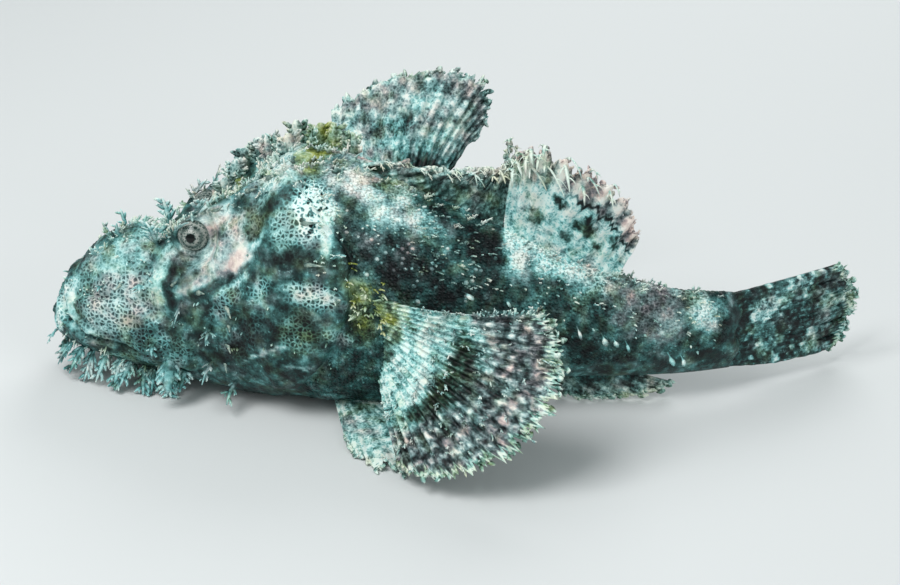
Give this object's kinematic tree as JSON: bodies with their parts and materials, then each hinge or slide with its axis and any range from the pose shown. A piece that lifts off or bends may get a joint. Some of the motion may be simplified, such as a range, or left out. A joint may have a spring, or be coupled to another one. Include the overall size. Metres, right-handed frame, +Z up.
{
  "type": "smallscale scorpionfish",
  "caption": "Still, life-size scorpionfish resting on its belly with its tail curved aside, its pectoral fins spread and tassels on its head.",
  "frame": {"origin": "under the front of the trunk, on the flat of the belly, at floor level on the body's mid plane", "axes": "-X towards the snout, -Y towards the fish's left side, +Z up"},
  "size_m": [0.2985, 0.147, 0.1004],
  "materials": {
    "head_skin": "matt fish skin with a wet look",
    "body_skin": "matt scaly fish skin",
    "fin_skin": "satin fin membrane over rays",
    "eye": "glossy, as a glass eye"
  },
  "bodies": {
    "root": {"head": "head_skin", "lower_jaw": "head_skin", "left_maxilla": "head_skin", "right_maxilla": "head_skin", "left_gill_cover": "head_skin", "right_gill_cover": "head_skin", "left_eye": "eye", "right_eye": "eye", "trunk": "body_skin", "tail_stalk": "body_skin", "spinous_dorsal_fin": "fin_skin", "soft_dorsal_fin": "fin_skin", "anal_fin": "fin_skin", "caudal_fin": "fin_skin", "left_pectoral_fin": "fin_skin", "right_pectoral_fin": "fin_skin", "left_pelvic_fin": "fin_skin", "right_pelvic_fin": "fin_skin"}
  },
  "joints": []
}
